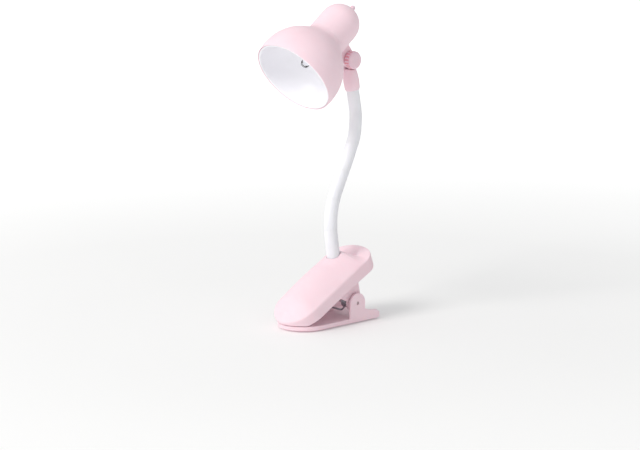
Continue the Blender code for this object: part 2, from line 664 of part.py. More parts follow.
# ---------------------------------------------------------------- neck socket with half lug
top_c = FULL[-1]
PT = PIVOT - HSIDE * 0.0
neck_dir = (Vector((PIVOT.x, 0, PIVOT.z)) - Vector((top_c.x, 0, top_c.z))).normalized()
SOCK = frame_matrix(CURVE[-1] + D1 * 1.2, neck_dir, (0, 1, 0))
z_piv = (PIVOT - SOCK.translation).dot(neck_dir)
sock_prof = [(NECK_R + 0.08, -0.2), (3.95, -0.2), (4.25, 0.6), (4.5, 3.2), (4.55, 5.2), (4.3, 8.0), (3.9, 10.6), (3.6, 12.4), (3.3, 13.0),
             (0.0, 13.0), (0.0, 3.2), (NECK_R + 0.08, 3.2)]
sock = lathe_bm(sock_prof[:-1] + [sock_prof[-1]], 28, False, None)
sock.free()
sock = lathe_bm([(0, 1.9), (NECK_R + 0.1, 1.9), (NECK_R + 0.1, -0.2), (3.95, -0.2), (4.3, 0.7), (4.5, 3.2), (4.55, 5.2), (4.3, 8.0), (3.9, 10.4),
                 (3.55, 12.0), (3.2, 12.5), (0, 12.5)], 28, False, SOCK)
# half lug beside the head's lug, in a frame with its face square to the hinge axis
yv = HSIDE
zv = (neck_dir - yv * neck_dir.dot(yv)).normalized()
xv = yv.cross(zv)
LM = Matrix((xv, zv, yv)).transposed().to_4x4()
LM.translation = PIVOT
SL_S0, SL_S1 = -3.35, -0.85
sl = [(4.3 * math.cos(math.radians(a)), 4.3 * math.sin(math.radians(a))) for a in range(0, 181, 15)] + [(-3.9, -8.0), (3.9, -8.0)]
slb = prism_bm(sl, SL_S0, SL_S1, None, 0.25)
slb.transform(LM)
# room for the head's lug to turn over the socket's shoulder
cut = lathe_bm([(0, SL_S1), (LUG_R + 0.45, SL_S1), (LUG_R + 0.45, 1.8), (KNOB_R + 0.4, 1.8), (KNOB_R + 0.4, 9.0), (0, 9.0)], 28, mtx=frame_matrix(PIVOT, HSIDE, BDIR))
hole2 = lathe_bm([(0, -9), (1.62, -9), (1.62, 9), (0, 9)], 20, mtx=frame_matrix(PIVOT, HSIDE, BDIR))
socket = finish(boolean(sock, [("UNION", slb), ("DIFFERENCE", cut), ("DIFFERENCE", hole2)]), "neck_socket", PINK)

# ---------------------------------------------------------------- clamp knob, its screw and nut
KM = frame_matrix(PIVOT, HSIDE, BDIR)


def knob_bm():
    n_r = 14
    n = n_r * 4
    bm = bmesh.new()
    lv = [(KNOB_Y0, 0.90, 0), (KNOB_Y0 + 0.45, 1.0, 1), (KNOB_Y1 - 1.0, 1.0, 1), (KNOB_Y1 - 0.55, 0.95, 0.5), (KNOB_Y1 - 0.15, 0.82, 0), (KNOB_Y1, 0.62, 0)]
    rings = []
    for z, k, g in lv:
        ring = []
        for i in range(n):
            a = 2 * PI * i / n
            groove = 0.0 if i % 4 in (0, 1) else 0.30 * g
            r = KNOB_R * k - groove
            ring.append(bm.verts.new((r * math.cos(a), r * math.sin(a), z)))
        rings.append(ring)
    top = bm.verts.new((0, 0, KNOB_Y1 + 0.05))
    lo_in = [bm.verts.new((1.55 * math.cos(2 * PI * i / n), 1.55 * math.sin(2 * PI * i / n), KNOB_Y0)) for i in range(n)]
    lo_top = [bm.verts.new((1.55 * math.cos(2 * PI * i / n), 1.55 * math.sin(2 * PI * i / n), KNOB_Y0 + 2.8)) for i in range(n)]
    cen = bm.verts.new((0, 0, KNOB_Y0 + 2.8))
    for a, b in zip(rings[:-1], rings[1:]):
        for i in range(n):
            j = (i + 1) % n
            bm.faces.new((a[i], a[j], b[j], b[i]))
    for i in range(n):
        j = (i + 1) % n
        bm.faces.new((rings[-1][i], rings[-1][j], top))
        bm.faces.new((rings[0][j], rings[0][i], lo_in[i], lo_in[j]))
        bm.faces.new((lo_in[j], lo_in[i], lo_top[i], lo_top[j]))
        bm.faces.new((lo_top[j], lo_top[i], cen))
    bm.transform(KM)
    return bm


knob = finish(knob_bm(), "clamp_knob", PINK, 28)
screw = finish(lathe_bm([(0, SL_S0 - 1.9), (1.1, SL_S0 - 1.9), (1.45, SL_S0 - 1.55), (1.45, KNOB_Y0 + 2.6), (0, KNOB_Y0 + 2.6)], 18, mtx=KM), "clamp_screw", STEEL)
hinge_nut = ring_nut(3.0, 1.52, SL_S0 - 1.75, SL_S0 - 0.15, KM @ Matrix.Rotation(0, 4, "Z"), "clamp_nut", STEEL)

# ---------------------------------------------------------------- light source
led_prof = [(0, 21.6), (2.9, 21.6), (2.9, 20.6), (2.5, 20.5), (2.5, 13.0), (2.42, 12.3), (2.17, 11.55), (1.77, 11.05), (1.25, 10.7), (0.65, 10.52), (0, 10.45)]
led = finish(lathe_bm(led_prof, 28, mtx=HM), "led", CLEAR)
board = finish(lathe_bm([(0, 22.0), (8.2, 22.0), (8.2, 23.2), (0, 23.2)], 32, mtx=HM), "led_board", BOARD)

# battery stack inside the housing
carrier = finish(lathe_bm([(6.05, 31.2), (7.3, 31.2), (7.3, 49.3), (6.05, 49.3)], 32, True, HM), "cell_carrier", WHITE)
cells = []
for i in range(3):
    z0 = 32.4 + 5.45 * i
    cells.append(finish(lathe_bm([(0, z0), (4.6, z0), (4.9, z0 + 0.5), (5.8, z0 + 0.8), (5.8, z0 + 5.1), (5.5, z0 + 5.35), (0, z0 + 5.35)], 28, mtx=HM), "cell_%d" % (i + 1), STEEL))
cp = []
n_c = 3 * 14
for i in range(n_c + 1):
    k = i / n_c
    a = 2 * PI * 3 * k
    r = 4.3 - 1.6 * k
    cp.append(HM @ Vector((r * math.cos(a), r * math.sin(a), 23.9 + 7.9 * k)))
contact_spring = finish(tube_bm(cp, 0.3, 6), "contact_spring", STEEL, 60)
plate = finish(lathe_bm([(0, 48.95), (5.2, 48.95), (5.2, 49.25), (0, 49.25)], 24, mtx=HM), "contact_plate", BRASS)
sw_body = finish(lathe_bm([(0, 49.5), (3.3, 49.5), (3.3, 51.8), (2.3, 51.8), (2.3, 50.4), (0, 50.4)], 20, mtx=HM), "switch_body", DARK)
button = finish(lathe_bm([(0, 53.0), (1.45, 53.0), (1.45, 57.7), (1.25, 58.35), (0.75, 58.7), (0, 58.8)], 20, mtx=HM), "switch_button", PINK)
retainer = finish(lathe_bm([(0, 52.1), (2.0, 52.1), (2.0, 52.65), (0, 52.65)], 20, mtx=HM), "switch_plunger", RUBBER)

# ---------------------------------------------------------------- joint origins and final placement
SHIFT = Vector(ORIGIN_SHIFT) * MM


def place(ob, pivot_mm=None):
    """move into the row frame and put the object's origin on its joint axis"""
    ob.data.transform(Matrix.Translation(SHIFT))
    if pivot_mm is not None:
        p = Vector(pivot_mm) * MM + SHIFT
        ob.data.transform(Matrix.Translation(-p))
        ob.location = p


PINP = Vector((PIN_X, 0, PIN_Z))
place(lower)
place(pin)
place(spring, PINP)
place(upper, PINP)
for o in (ferrule, washer, nut, neck[0]):
    place(o, PINP)
for i in range(1, N_SEG):
    place(neck[i], JOINT_P[i - 1])
place(socket, JOINT_P[-1])
place(hinge_nut, JOINT_P[-1])
for o in (housing, shade, reflector, led, board, carrier, contact_spring, plate, sw_body, retainer, *cells):
    place(o, PIVOT)
place(knob, PIVOT)
place(screw, PIVOT)
place(button, RC + BDIR * 55)
bpy.context.view_layer.update()
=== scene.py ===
"""Looks for the clip on reading lamp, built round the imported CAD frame."""
import bpy
import bmesh
import math
from mathutils import Vector, Matrix, noise


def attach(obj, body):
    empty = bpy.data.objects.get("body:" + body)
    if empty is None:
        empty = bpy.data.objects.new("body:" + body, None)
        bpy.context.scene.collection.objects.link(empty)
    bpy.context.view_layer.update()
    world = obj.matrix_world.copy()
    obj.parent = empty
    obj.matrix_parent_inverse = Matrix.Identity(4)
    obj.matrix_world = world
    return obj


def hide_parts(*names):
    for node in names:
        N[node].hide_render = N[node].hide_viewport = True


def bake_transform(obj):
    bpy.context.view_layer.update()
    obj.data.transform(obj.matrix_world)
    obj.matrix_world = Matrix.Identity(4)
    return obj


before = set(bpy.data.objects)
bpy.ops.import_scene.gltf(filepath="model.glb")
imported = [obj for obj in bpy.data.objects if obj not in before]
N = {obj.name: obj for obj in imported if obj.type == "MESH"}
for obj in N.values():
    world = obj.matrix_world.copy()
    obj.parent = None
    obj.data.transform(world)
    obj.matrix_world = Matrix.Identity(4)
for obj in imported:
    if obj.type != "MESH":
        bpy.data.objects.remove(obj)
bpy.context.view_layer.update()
PI = math.pi
MM = 0.001
COL = bpy.context.scene.collection

# ------------------------------------------------------------------ dimensions (mm), as the CAD has them
SHIFT = Vector((-14.767, 0.017, 0.0))
BASE_REAR_X, BASE_FRONT_X, BASE_HALF_W, BASE_NOSE_LEN, BASE_T = -19.3, 40.9, 15.05, 15.4, 3.3
BASE_WALL_T = 1.6
WALL_PTS = ((-19.3, 4.3), (-16.8, 5.9), (-11.5, 6.6), (-8.4, 7.3), (-6.9, 8.6), (2.0, 8.6), (2.05, 3.3))
EAR_R, PIN_X, PIN_Z = 5.7, -1.75, 11.8
JAW_SLOPE = math.radians(29.7)
JAW_C = (13.0, 23.66)
JAW_HALF_L, JAW_HALF_W, JAW_NOSE, JAW_TAIL = 35.0, 15.6, 15.5, 11.5
JAW_SIDE_H, JAW_WALL, CROWN, NOSE_DROP, TAIL_DRAFT = 6.6, 1.8, 8.7, 1.3, 1.7
GRIP_Z = 3.75
UEAR_Y0, UEAR_Y1, UEAR_R = 10.3, 12.4, 5.1
COIL_R, WIRE_R, COIL_Y0, COIL_Y1 = 3.3, 0.55, 4.9, 9.3
NECK_R = 3.5
NECK_PTS = ((3.64, 39.92), (4.74, 46.65), (5.46, 53.37), (5.39, 59.98), (4.39, 66.46), (2.30, 72.75), (-0.73, 79.01), (-3.77, 85.28), (-6.96, 91.49), (-9.85, 97.80), (-12.59, 104.13), (-13.66, 110.56), (-13.87, 117.10), (-12.89, 123.72), (-11.52, 130.29))
HOLE_R = 4.1
HEAD_PITCH, HEAD_YAW = math.radians(38.4), math.radians(0.5)
RIM_C = (33.16, 0.0, 141.57)
PIVOT_T, PIVOT_D = 36.5, 20.2
KNOB_R, KNOB_Y0, KNOB_Y1 = 5.1, 2.05, 6.4
LUG_R, LUG_S0, LUG_S1 = 4.5, -0.55, 1.75
SL_S0, SL_S1 = -3.35, -0.85


# ------------------------------------------------------------------ mesh helpers (mm in, m out)
def out(bm, name, sharp=35.0, doubles=1e-4):
    bmesh.ops.remove_doubles(bm, verts=bm.verts, dist=doubles)
    bmesh.ops.recalc_face_normals(bm, faces=bm.faces)
    bmesh.ops.translate(bm, vec=SHIFT, verts=bm.verts)
    bmesh.ops.scale(bm, vec=(MM, MM, MM), verts=bm.verts)
    me = bpy.data.meshes.new(name)
    bm.to_mesh(me)
    bm.free()
    ob = bpy.data.objects.new(name, me)
    COL.objects.link(ob)
    me.shade_smooth()
    if sharp:
        me.set_sharp_from_angle(angle=math.radians(sharp))
    return ob


def frame_matrix(origin, zdir, xhint=(1, 0, 0)):
    z = Vector(zdir).normalized()
    x = Vector(xhint) - z * Vector(xhint).dot(z)
    if x.length < 1e-6:
        x = Vector((0, 1, 0)) - z * z.y
    x.normalize()
    m = Matrix((x, z.cross(x), z)).transposed().to_4x4()
    m.translation = Vector(origin)
    return m


def lathe_bm(profile, n=32, closed=False, mtx=None):
    bm = bmesh.new()
    rings = []
    for r, z in profile:
        if r < 1e-6:
            rings.append([bm.verts.new((0, 0, z))])
        else:
            rings.append([bm.verts.new((r * math.cos(2 * PI * i / n), r * math.sin(2 * PI * i / n), z)) for i in range(n)])
    pairs = list(zip(rings[:-1], rings[1:]))
    if closed:
        pairs.append((rings[-1], rings[0]))
    for a, b in pairs:
        if len(a) == 1 and len(b) == 1:
            continue
        for i in range(n):
            j = (i + 1) % n
            if len(a) == 1:
                bm.faces.new((a[0], b[i], b[j]))
            elif len(b) == 1:
                bm.faces.new((a[i], b[0], a[j]))
            else:
                bm.faces.new((a[i], b[i], b[j], a[j]))
    if mtx is not None:
        bm.transform(mtx)
    return bm


def tube_bm(path, radius, n=12, caps=True):
    """round bar along a path; radius may be a number or a function of the step"""
    bm = bmesh.new()
    pts = [Vector(p) for p in path]
    t0 = (pts[1] - pts[0]).normalized()
    ref = Vector((0, 1, 0)) if abs(t0.y) < 0.9 else Vector((1, 0, 0))
    nrm = (ref - t0 * ref.dot(t0)).normalized()
    rings = []
    for i, p in enumerate(pts):
        if i == 0:
            t = t0
        elif i == len(pts) - 1:
            t = (pts[i] - pts[i - 1]).normalized()
        else:
            t = (pts[i + 1] - pts[i - 1]).normalized()
        nrm = (nrm - t * nrm.dot(t)).normalized()
        bi = t.cross(nrm)
        r = radius(i) if callable(radius) else radius
        rings.append([bm.verts.new(p + nrm * r * math.cos(2 * PI * k / n) + bi * r * math.sin(2 * PI * k / n)) for k in range(n)])
    for a, b in zip(rings[:-1], rings[1:]):
        for i in range(n):
            j = (i + 1) % n
            bm.faces.new((a[i], a[j], b[j], b[i]))
    if caps:
        bm.faces.new(list(reversed(rings[0])))
        bm.faces.new(rings[-1])
    return bm


def prism_bm(outline, lo, hi, mtx=None):
    bm = bmesh.new()
    rings = [[bm.verts.new((x, y, z)) for x, y in outline] for z in (lo, hi)]
    n = len(outline)
    for i in range(n):
        j = (i + 1) % n
        bm.faces.new((rings[0][i], rings[0][j], rings[1][j], rings[1][i]))
    bm.faces.new(list(reversed(rings[0])))
    bm.faces.new(rings[1])
    bmesh.ops.recalc_face_normals(bm, faces=bm.faces)
    if mtx is not None:
        bm.transform(mtx)
    return bm


XZ = Matrix(((1, 0, 0, 0), (0, 0, -1, 0), (0, 1, 0, 0), (0, 0, 0, 1)))


def xz_prism_bm(outline, y0, y1):
    return prism_bm(outline, -y1, -y0, XZ)


def raw(bm, name):
    bmesh.ops.remove_doubles(bm, verts=bm.verts, dist=1e-4)
    bmesh.ops.recalc_face_normals(bm, faces=bm.faces)
    me = bpy.data.meshes.new(name)
    bm.to_mesh(me)
    bm.free()
    ob = bpy.data.objects.new(name, me)
    COL.objects.link(ob)
    return ob


def boolean(a_bm, tools, voxel=None, smooth=0):
    """Boolean chain in mm; with a voxel size the result is remeshed and relaxed, which rounds its edges"""
    base = raw(a_bm, "tmp_base")
    extra = []
    for op, tb in tools:
        t = raw(tb, "tmp_tool")
        t.hide_render = True
        extra.append(t)
        md = base.modifiers.new("b", "BOOLEAN")
        md.operation, md.solver, md.object = op, "EXACT", t
    if voxel:
        md = base.modifiers.new("r", "REMESH")
        md.mode, md.voxel_size, md.adaptivity = "VOXEL", voxel, 0.0
        if smooth:
            md = base.modifiers.new("s", "SMOOTH")
            md.factor, md.iterations = 0.5, smooth
    bpy.context.view_layer.update()
    dg = bpy.context.evaluated_depsgraph_get()
    me = bpy.data.meshes.new_from_object(base.evaluated_get(dg))
    bm = bmesh.new()
    bm.from_mesh(me)
    bpy.data.meshes.remove(me)
    for t in [base] + extra:
        bpy.data.objects.remove(t, do_unlink=True)
    return bm


def arc(cx, cz, r, a0, a1, n):
    return [(cx + r * math.cos(math.radians(a0 + (a1 - a0) * i / n)),
             cz + r * math.sin(math.radians(a0 + (a1 - a0) * i / n))) for i in range(n + 1)]


def smooth_step(a, b, x):
    t = min(1.0, max(0.0, (x - a) / (b - a)))
    return t * t * (3 - 2 * t)


def spline(pts, k=8):
    """Catmull-Rom through 2D or 3D points"""
    P = [Vector(p) for p in pts]
    P = [P[0] * 2 - P[1]] + P + [P[-1] * 2 - P[-2]]
    res = []
    for i in range(1, len(P) - 2):
        a, b, c, d = P[i - 1], P[i], P[i + 1], P[i + 2]
        for q in range(k):
            t = q / k
            res.append(0.5 * ((2 * b) + (c - a) * t + (2 * a - 5 * b + 4 * c - d) * t * t + (3 * b - 3 * c + d - a) * t ** 3))
    res.append(P[-2])
    return res


# ------------------------------------------------------------------ materials
def new_mat(name):
    m = bpy.data.materials.new(name)
    m.use_nodes = True
    return m, m.node_tree, m.node_tree.nodes["Principled BSDF"]


def noise_node(nt, scale, detail=3.0, rough=0.5):
    tc = nt.nodes.new("ShaderNodeTexCoord")
    n = nt.nodes.new("ShaderNodeTexNoise")
    n.inputs["Scale"].default_value = scale
    n.inputs["Detail"].default_value = detail
    n.inputs["Roughness"].default_value = rough
    nt.links.new(tc.outputs["Object"], n.inputs["Vector"])
    return n


def ramp(nt, src, lo, hi, p0=0.3, p1=0.7):
    r = nt.nodes.new("ShaderNodeValToRGB")
    r.color_ramp.elements[0].position, r.color_ramp.elements[1].position = p0, p1
    r.color_ramp.elements[0].color = (*lo, 1)
    r.color_ramp.elements[1].color = (*hi, 1)
    nt.links.new(src, r.inputs["Fac"])
    return r


def map_range(nt, src, a, b, lo=0.3, hi=0.7):
    m = nt.nodes.new("ShaderNodeMapRange")
    m.inputs["From Min"].default_value, m.inputs["From Max"].default_value = lo, hi
    m.inputs["To Min"].default_value, m.inputs["To Max"].default_value = a, b
    nt.links.new(src, m.inputs["Value"])
    return m


def bump(nt, src, strength, distance, prev=None):
    b = nt.nodes.new("ShaderNodeBump")
    b.inputs["Strength"].default_value = strength
    b.inputs["Distance"].default_value = distance
    nt.links.new(src, b.inputs["Height"])
    if prev is not None:
        nt.links.new(prev.outputs["Normal"], b.inputs["Normal"])
    return b


def moulded(name, lo, hi, rough=(0.34, 0.42), sss=0.12, sss_radius=(0.9, 0.45, 0.5), grain=0.10, coat=0.0, sss_scale=0.002):
    """moulded plastic: a cloudy pigment, satin sheen broken by a fine spark-eroded grain and faint handling marks"""
    m, nt, b = new_mat(name)
    cloud = noise_node(nt, 38.0, 4.0, 0.6)
    col = ramp(nt, cloud.outputs["Fac"], lo, hi, 0.32, 0.68)
    nt.links.new(col.outputs["Color"], b.inputs["Base Color"])
    smear = noise_node(nt, 160.0, 5.0, 0.65)
    rr = map_range(nt, smear.outputs["Fac"], rough[0], rough[1])
    nt.links.new(rr.outputs["Result"], b.inputs["Roughness"])
    fine = noise_node(nt, 5200.0, 2.0, 0.5)
    wave = noise_node(nt, 420.0, 2.0, 0.5)
    b1 = bump(nt, wave.outputs["Fac"], 0.06, 0.0002)
    b2 = bump(nt, fine.outputs["Fac"], grain, 0.00004, b1)
    nt.links.new(b2.outputs["Normal"], b.inputs["Normal"])
    b.inputs["Subsurface Weight"].default_value = sss
    b.inputs["Subsurface Radius"].default_value = sss_radius
    b.inputs["Subsurface Scale"].default_value = sss_scale
    b.inputs["IOR"].default_value = 1.46
    b.inputs["Coat Weight"].default_value = coat
    return m


def metal(name, colour, rough=(0.16, 0.3), stretch=(1, 1, 1), scale=900.0):
    """bright drawn or turned metal with fine lay marks"""
    m, nt, b = new_mat(name)
    tc = nt.nodes.new("ShaderNodeTexCoord")
    mp = nt.nodes.new("ShaderNodeMapping")
    mp.inputs["Scale"].default_value = stretch
    n = nt.nodes.new("ShaderNodeTexNoise")
    n.inputs["Scale"].default_value = scale
    n.inputs["Detail"].default_value = 4.0
    nt.links.new(tc.outputs["Object"], mp.inputs["Vector"])
    nt.links.new(mp.outputs["Vector"], n.inputs["Vector"])
    dark = tuple(c * 0.86 for c in colour)
    col = ramp(nt, n.outputs["Fac"], dark, colour)
    nt.links.new(col.outputs["Color"], b.inputs["Base Color"])
    rr = map_range(nt, n.outputs["Fac"], rough[0], rough[1])
    nt.links.new(rr.outputs["Result"], b.inputs["Roughness"])
    bp = bump(nt, n.outputs["Fac"], 0.08, 0.00003)
    nt.links.new(bp.outputs["Normal"], b.inputs["Normal"])
    b.inputs["Metallic"].default_value = 1.0
    return m


PINK = moulded("pink_plastic", (0.884, 0.662, 0.728), (0.914, 0.702, 0.766), rough=(0.52, 0.62))
PINK.node_tree.nodes["Principled BSDF"].inputs["Specular IOR Level"].default_value = 0.38
# a darker copy of the shell pink: painted shade, made for the knob; the switch button cap uses it too
PINK_DEEP = moulded("pink_plastic_painted_shade_copy", (0.815, 0.600, 0.675), (0.845, 0.640, 0.712), sss=0.25, sss_radius=(1.2, 0.35, 0.4))
WHITE = moulded("white_reflector", (0.893, 0.885, 0.925), (0.922, 0.915, 0.955), rough=(0.30, 0.38), sss=0.05, sss_radius=(0.6, 0.6, 0.6), grain=0.05)
SLEEVE = moulded("white_sleeve", (0.800, 0.803, 0.845), (0.850, 0.852, 0.885), rough=(0.42, 0.52), sss=0.18, sss_radius=(0.8, 0.8, 0.9), grain=0.16)
STEEL = metal("nickel_steel", (0.84, 0.84, 0.86))
SPRING_STEEL = metal("spring_steel", (0.40, 0.41, 0.45), (0.24, 0.38))
# steel tinted dull pink: painted pink shade, so the pin ends read as pink-shaded hollows in the ears
PIN_STEEL = metal("pin_steel_painted_pink_shade", (0.66, 0.52, 0.55), (0.5, 0.65))
CELL = metal("cell_steel", (0.78, 0.78, 0.80), (0.2, 0.36))
BRASS = metal("brass_strip", (0.83, 0.66, 0.33), (0.22, 0.4), (1, 12, 1))
DARK = moulded("switch_plastic", (0.035, 0.035, 0.04), (0.05, 0.05, 0.055), sss=0.0)
RUBBER = moulded("rubber_seal", (0.05, 0.05, 0.055), (0.08, 0.08, 0.085), rough=(0.6, 0.75), sss=0.0, grain=0.3)
BOARD = moulded("board_white", (0.74, 0.77, 0.72), (0.82, 0.84, 0.80), sss=0.0)

LENS, nt, b = new_mat("clear_epoxy")
cl = noise_node(nt, 300.0, 2.0)
rr = map_range(nt, cl.outputs["Fac"], 0.02, 0.06)
nt.links.new(rr.outputs["Result"], b.inputs["Roughness"])
b.inputs["Base Color"].default_value = (0.97, 0.98, 1.0, 1)
b.inputs["Transmission Weight"].default_value = 1.0
b.inputs["IOR"].default_value = 1.5


def paint(ob, mat):
    ob.data.materials.clear()
    ob.data.materials.append(mat)
    return ob


# ------------------------------------------------------------------ shapes shared by several pieces
SU = Vector((-math.cos(JAW_SLOPE), 0, math.sin(JAW_SLOPE)))
SW = Vector((math.sin(JAW_SLOPE), 0, math.cos(JAW_SLOPE)))
SC = Vector((JAW_C[0], 0, JAW_C[1]))


def jaw_pt(u, v, w):
    return SC + SU * u + Vector((0, v, 0)) + SW * w


def jaw_outline(hl_f, hl_r, hw, nose, tail, nf, nr, ns):
    pts = []
    ur, uf = hl_r - tail, -hl_f + nose
    for i in range(2 * nr + 1):
        t = PI / 2 - PI * i / (2 * nr)
        c, s = math.cos(t), math.sin(t)
        pts.append((ur + tail * abs(c) ** (2 / 2.15), hw * math.copysign(abs(s) ** (2 / 2.15), s), ur))
    for i in range(1, ns):
        u = ur + (uf - ur) * i / ns
        pts.append((u, -hw, u))
    for i in range(2 * nf + 1):
        t = -PI / 2 + PI * i / (2 * nf)
        c, s = math.cos(t), math.sin(t)
        pts.append((uf - nose * abs(c) ** (2 / 1.95), hw * math.copysign(abs(s) ** (2 / 1.95), s), uf))
    for i in range(1, ns):
        u = uf + (ur - uf) * i / ns
        pts.append((u, hw, u))
    return pts


EXIT_U = 17.0


def jaw_top(u, v, r):
    s = CROWN * (0.50 + 0.50 * smooth_step(-40, -8, u)) * (1 - 0.10 * smooth_step(0, 14, u)) * (1 - 0.78 * smooth_step(18.5, 26.0, u))
    w = s * (1 - r ** 1.75)
    d = math.hypot((u - 26.8) / 6.6, v / 7.6)
    w -= 2.3 * (1 - smooth_step(0.2, 1.05, d))
    e = math.hypot(u - EXIT_U + 0.5, v)
    w += 0.7 * (1 - smooth_step(4.0, 11.0, e))
    return w - NOSE_DROP * smooth_step(-22, -35, u) if u < -22 else w


def skirt(u):
    return 0.9 * smooth_step(0, 14, u) * (1 - smooth_step(24, 33, u))


def jaw_solid(inner=False):
    nr_, nf_, ns_ = (22, 26, 22)
    if not inner:
        ol = jaw_outline(JAW_HALF_L, JAW_HALF_L, JAW_HALF_W, JAW_NOSE, JAW_TAIL, nf_, nr_, ns_)
        rs = [1.0, 0.985] + [0.96 - 0.045 * k for k in range(21)] + [0.03]
    else:
        t = JAW_WALL
        ol = jaw_outline(23.5, JAW_HALF_L - t, JAW_HALF_W - t, 8.5, JAW_TAIL - t, nf_, nr_, ns_)
        rs = [1.0, 0.93, 0.84, 0.74, 0.64, 0.54, 0.44, 0.34, 0.24, 0.14, 0.05]
    bm = bmesh.new()
    rings = []
    if not inner:
        rings.append([bm.verts.new(jaw_pt(u - TAIL_DRAFT * max(0.0, u - su) / JAW_TAIL, v, -JAW_SIDE_H - skirt(u))) for u, v, su in ol])
        rings.append([bm.verts.new(jaw_pt(u, v, min(-0.35, jaw_top(u, v, 1.0) - 0.35))) for u, v, su in ol])
        for r in rs:
            k = 0.982 if r == 1.0 else 1.0
            rings.append([bm.verts.new(jaw_pt(su + (u - su) * r * k, v * r * k, jaw_top(su + (u - su) * r * k, v * r * k, r))) for u, v, su in ol])
    else:
        rings.append([bm.verts.new(jaw_pt(u, v, -JAW_SIDE_H - 4)) for u, v, su in ol])
        for r in rs:
            ring = []
            for u, v, su in ol:
                uu, vv = su + (u - su) * r, v * r
                q = min(1.0, max(abs(vv) / JAW_HALF_W, abs(uu - su) / JAW_NOSE))
                ring.append(bm.verts.new(jaw_pt(uu, vv, min(jaw_top(uu, vv, q), CROWN) - 1.9)))
            rings.append(ring)
    n = len(ol)
    for a, c in zip(rings[:-1], rings[1:]):
        for i in range(n):
            j = (i + 1) % n
            bm.faces.new((a[i], c[i], c[j], a[j]))
    bm.faces.new(rings[0])
    last = rings[-1]
    mid = nr_
    right = [last[(mid + k) % n] for k in range(n // 2 + 1)]
    left = [last[(mid - k) % n] for k in range(n // 2 + 1)]
    for k in range(n // 2):
        vs = []
        for q in (left[k], right[k], right[k + 1], left[k + 1]):
            if q not in vs:
                vs.append(q)
        if len(vs) >= 3:
            bm.faces.new(vs)
    bmesh.ops.recalc_face_normals(bm, faces=bm.faces)
    return bm


CURVE = spline([(x, 0, z) for x, z in NECK_PTS], 24)
D0 = (CURVE[4] - CURVE[0]).normalized()
D1 = (CURVE[-1] - CURVE[-5]).normalized()
E0 = CURVE[0].copy()
FULL = [E0 - D0 * d for d in (6.0, 4.0, 2.0)] + CURVE + [CURVE[-1] + D1 * d for d in (1.4, 2.8)]
LENS_ = [0.0]
for a, c in zip(FULL[:-1], FULL[1:]):
    LENS_.append(LENS_[-1] + (c - a).length)
TOTAL = LENS_[-1]


def on_curve(s):
    s = min(max(s, 0.0), TOTAL)
    for i in range(len(LENS_) - 1):
        if LENS_[i + 1] >= s:
            return FULL[i].lerp(FULL[i + 1], (s - LENS_[i]) / max(1e-9, LENS_[i + 1] - LENS_[i]))
    return FULL[-1]


def tangent(s):
    return (on_curve(s + 0.6) - on_curve(s - 0.6)).normalized()


JOINT_S = [11.2 + (TOTAL - 7.0 - 11.2) * i / 5 for i in range(6)]

BDIR = Vector((-math.cos(HEAD_PITCH) * math.cos(HEAD_YAW), -math.cos(HEAD_PITCH) * math.sin(HEAD_YAW), math.sin(HEAD_PITCH)))
HSIDE = Vector((-math.sin(HEAD_YAW), math.cos(HEAD_YAW), 0))
HDOWN = BDIR.cross(HSIDE)
if HDOWN.z > 0:
    HDOWN = -HDOWN
RC = Vector(RIM_C)
HM = frame_matrix(RC, BDIR, HSIDE)
PIVOT = RC + BDIR * PIVOT_T + HDOWN * PIVOT_D
KM = frame_matrix(PIVOT, HSIDE, BDIR)
HL = Matrix((BDIR, HDOWN, HSIDE)).transposed().to_4x4()
HL.translation = RC

# ------------------------------------------------------------------ camera first
AZ, EL, DIST, TX, TZ, FOCAL = math.radians(43), math.radians(10.22), 1000.0, -10.05, 55.06, 1760.0
right = Vector((-math.cos(AZ), math.sin(AZ), 0))
away = Vector((-math.sin(AZ), -math.cos(AZ), 0))
fwd = away * math.cos(EL) - Vector((0, 0, 1)) * math.sin(EL)
up = right.cross(fwd)
cam = bpy.data.cameras.new("camera")
cam.sensor_width = 36.0
cam.lens = FOCAL / 640 * 36
cam.clip_start, cam.clip_end = 0.05, 20
cam_ob = bpy.data.objects.new("camera", cam)
COL.objects.link(cam_ob)
M = Matrix((right, up, -fwd)).transposed().to_4x4()
M.translation = (Vector((0, 0, TZ)) + right * TX - fwd * DIST + SHIFT) * MM
cam_ob.matrix_world = M
bpy.context.scene.camera = cam_ob

# ------------------------------------------------------------------ lower jaw
def base_outline(d=0.0, n=64):
    """outline of the lower jaw, moved in by d"""
    xc, a, hw = BASE_FRONT_X - BASE_NOSE_LEN, BASE_NOSE_LEN - d, BASE_HALF_W - d
    pts = [(xc + a * math.cos(-PI / 2 + PI * i / n), hw * math.sin(-PI / 2 + PI * i / n)) for i in range(n + 1)]
    r, c = BASE_REAR_X + d, 1.2
    pts += [(r + c, hw), (r + c * 0.3, hw - c * 0.3), (r, hw - c), (r, -hw + c), (r + c * 0.3, -hw + c * 0.3), (r + c, -hw)]
    return pts


def undercut(d):
    """outline moved in by d under the rear, less under the nose"""
    return [(x + (xi - x) * (1 - 0.6 * smooth_step(2, 34, x)), y + (yi - y) * (1 - 0.6 * smooth_step(2, 34, x))) for (x, y), (xi, yi) in zip(base_outline(0.0), base_outline(d))]


def plate_bm():
    """the lower jaw's plate, undercut all round so that it stands on a smaller foot"""
    bm = bmesh.new()
    rings = [[bm.verts.new((x, y, z)) for x, y in undercut(d)] for d, z in ((4.4, 0.0), (4.3, 0.85), (0.2, 0.95), (0.0, 1.15), (0.0, BASE_T - 0.3), (0.12, BASE_T - 0.08), (0.4, BASE_T))]
    n = len(rings[0])
    for a, c in zip(rings[:-1], rings[1:]):
        for i in range(n):
            j = (i + 1) % n
            bm.faces.new((a[i], a[j], c[j], c[i]))
    bm.faces.new(list(reversed(rings[0])))
    bm.faces.new(rings[-1])
    return bm


